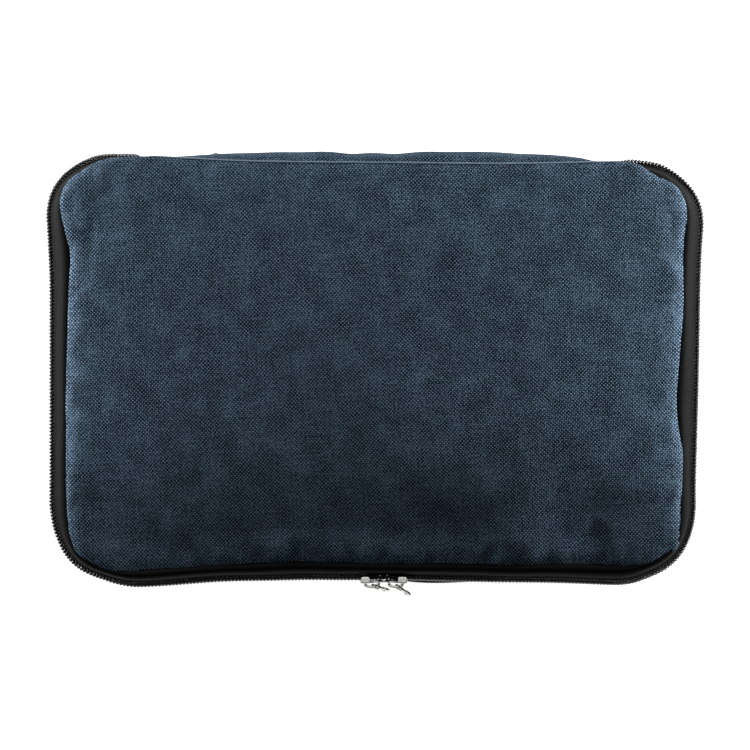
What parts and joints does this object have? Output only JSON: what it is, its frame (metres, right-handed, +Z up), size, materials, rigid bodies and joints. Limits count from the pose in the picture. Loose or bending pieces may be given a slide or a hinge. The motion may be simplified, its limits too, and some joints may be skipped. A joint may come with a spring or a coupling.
{
  "type": "travel document organizer",
  "caption": "Soft clamshell document case with a padded woven cover, zipper round three sides, fabric spine, inner pockets and a hinged divider.",
  "frame": {"origin": "on the surface the closed case lies on, under the middle of the case without its pullers", "axes": "+X along the spine, +Y towards the spine, +Z up through the thickness to the front cover"},
  "size_m": [0.286, 0.1976, 0.0399],
  "materials": {
    "outer_fabric": "slate blue melange woven polyester, matt",
    "foam": "closed-cell padding",
    "lining": "fine black woven lining",
    "zipper_tape": "black woven tape",
    "zipper_coil": "black nylon coil",
    "binding": "black ribbed binding tape",
    "mesh": "black open net",
    "nickel": "bright nickel plate",
    "clear_vinyl": "clear flexible sheet",
    "board": "stiffening board"
  },
  "bodies": {
    "back_half": {"back_shell": "outer_fabric", "back_foam": "foam", "back_lining": "lining", "back_seam_binding": "binding", "back_zipper_tape": "zipper_tape", "back_coil": "zipper_coil", "rear_pocket_panel": "outer_fabric", "rear_pocket_tape_upper": "zipper_tape", "rear_pocket_tape_lower": "zipper_tape", "rear_pocket_coil_upper": "zipper_coil", "rear_pocket_coil_lower": "zipper_coil", "rear_pocket_stop_left": "nickel", "rear_pocket_stop_right": "nickel", "divider_hinge_strip": "binding", "mesh_pocket_panel": "mesh", "mesh_pocket_top_band": "lining", "mesh_pocket_binding": "binding", "mesh_pocket_tape_upper": "zipper_tape", "mesh_pocket_tape_lower": "zipper_tape", "mesh_pocket_coil_upper": "zipper_coil", "mesh_pocket_coil_lower": "zipper_coil", "mesh_pocket_stop_left": "nickel", "mesh_pocket_stop_right": "nickel", "zipper_end_tab_left": "binding", "zipper_end_tab_right": "binding"},
    "spine": {"spine_shell": "outer_fabric", "spine_foam": "foam", "spine_lining": "lining"},
    "front_cover": {"front_shell": "outer_fabric", "front_foam": "foam", "front_lining": "lining", "front_seam_binding": "binding", "front_zipper_tape": "zipper_tape", "front_coil_left": "zipper_coil", "front_coil_right": "zipper_coil", "passport_pocket_inner": "lining", "passport_pocket_outer": "lining", "card_slot_1": "lining", "card_slot_2": "lining", "card_slot_3": "lining", "card_slot_4": "lining", "id_window": "clear_vinyl", "pen_loop": "binding"},
    "divider": {"divider_board": "board", "divider_front_pocket": "lining", "divider_back_pocket": "lining", "divider_binding": "binding"},
    "left_slider": {"left_slider_body": "nickel", "left_slider_crown": "nickel"},
    "left_puller": {"left_puller": "nickel"},
    "right_slider": {"right_slider_body": "nickel", "right_slider_crown": "nickel"},
    "right_puller": {"right_puller": "nickel"},
    "rear_pocket_slider": {"rear_pocket_slider_body": "nickel", "rear_pocket_slider_crown": "nickel"},
    "rear_pocket_puller": {"rear_pocket_puller": "nickel"},
    "mesh_pocket_slider": {"mesh_pocket_slider_body": "nickel", "mesh_pocket_slider_crown": "nickel"},
    "mesh_pocket_puller": {"mesh_pocket_puller": "nickel"}
  },
  "joints": [
    {"name": "spine_fold", "type": "hinge", "parent": "back_half", "child": "spine", "pos_m": [0, 0.0919, 0.01125], "axis": [-1, 0, 0], "range_deg": [0, 90]},
    {"name": "cover_fold", "type": "hinge", "parent": "spine", "child": "front_cover", "pos_m": [0, 0.0919, 0.02875], "axis": [-1, 0, 0], "range_deg": [0, 90]},
    {"name": "divider_fold", "type": "hinge", "parent": "back_half", "child": "divider", "pos_m": [0, 0.0835, 0.0237], "axis": [-1, 0, 0], "range_deg": [0, 90]},
    {"name": "left_slider_travel", "type": "slide", "parent": "back_half", "child": "left_slider", "axis": [-0.9996, -0.0295, 0], "range_m": [0, 0.096]},
    {"name": "left_puller_swing", "type": "hinge", "parent": "left_slider", "child": "left_puller", "pos_m": [-0.00109, -0.0956, 0.02], "axis": [0, 0, -1], "range_deg": [0, 147]},
    {"name": "right_slider_travel", "type": "slide", "parent": "back_half", "child": "right_slider", "axis": [0.9996, -0.027, 0], "range_m": [0, 0.09]},
    {"name": "right_puller_swing", "type": "hinge", "parent": "right_slider", "child": "right_puller", "pos_m": [0.0093, -0.09559, 0.02], "axis": [0, 0, 1], "range_deg": [-58, 17]},
    {"name": "rear_pocket_slider_travel", "type": "slide", "parent": "back_half", "child": "rear_pocket_slider", "axis": [1, 0, 0], "range_m": [0, 0.155]},
    {"name": "rear_pocket_puller_swing", "type": "hinge", "parent": "rear_pocket_slider", "child": "rear_pocket_puller", "pos_m": [-0.076, 0.09409, 0.00332], "axis": [0, -0.6606, -0.7507], "range_deg": [-80, 2]},
    {"name": "mesh_pocket_slider_travel", "type": "slide", "parent": "back_half", "child": "mesh_pocket_slider", "axis": [1, 0, 0], "range_m": [0, 0.2]},
    {"name": "mesh_pocket_puller_swing", "type": "hinge", "parent": "mesh_pocket_slider", "child": "mesh_pocket_puller", "pos_m": [-0.098, 0.062, 0.01175], "axis": [0, 1, 0], "range_deg": [-160, 0]}
  ],
  "couplings": [
    {"joint": "cover_fold", "follows": "spine_fold", "ratio": 1},
    {"joint": "divider_fold", "follows": "spine_fold", "ratio": 1}
  ]
}
